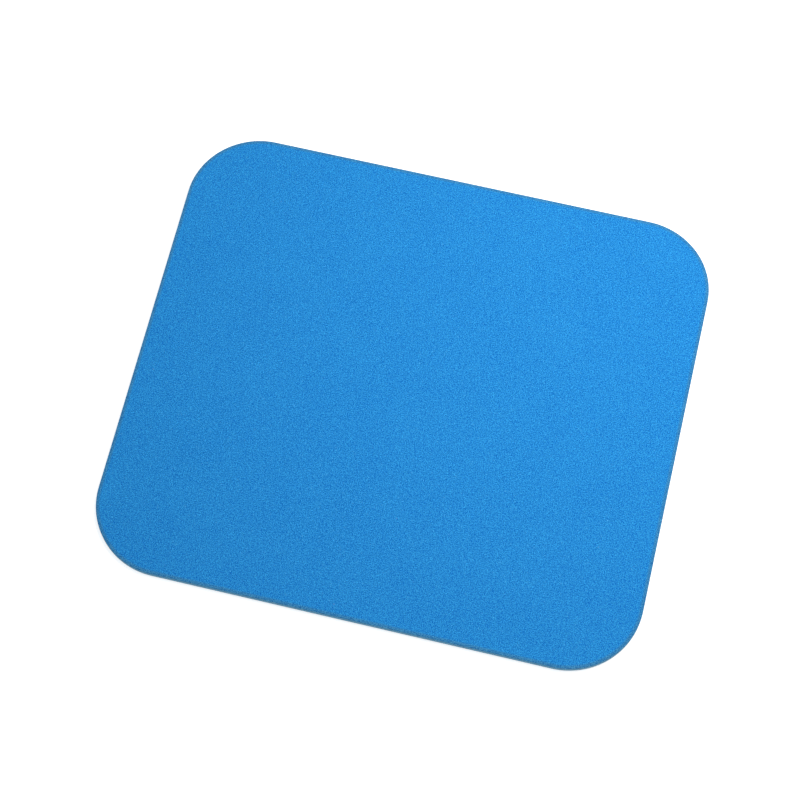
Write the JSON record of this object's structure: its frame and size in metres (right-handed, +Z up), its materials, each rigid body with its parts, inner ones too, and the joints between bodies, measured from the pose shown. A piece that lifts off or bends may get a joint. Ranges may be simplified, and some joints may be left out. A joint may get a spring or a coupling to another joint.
{
  "type": "mouse pad",
  "caption": "Flat rectangular desk mouse pad with large round corners: a blue knitted cloth face on a thin foam core, with an embossed anti-slip skin underneath.",
  "frame": {"origin": "middle of the underside, on the surface that the pad lies on", "axes": "+X along the longer side, to the right of the user; +Y along the shorter side, away from the user; +Z up, out of the cloth face"},
  "size_m": [0.25, 0.22, 0.003],
  "materials": {
    "knit_cloth": "matte",
    "glue_film": "satin",
    "foam": "matte",
    "grip_skin": "matte"
  },
  "bodies": {
    "root": {"cloth_top": "knit_cloth", "adhesive_film": "glue_film", "foam_core": "foam", "grip_base": "grip_skin"}
  },
  "joints": []
}
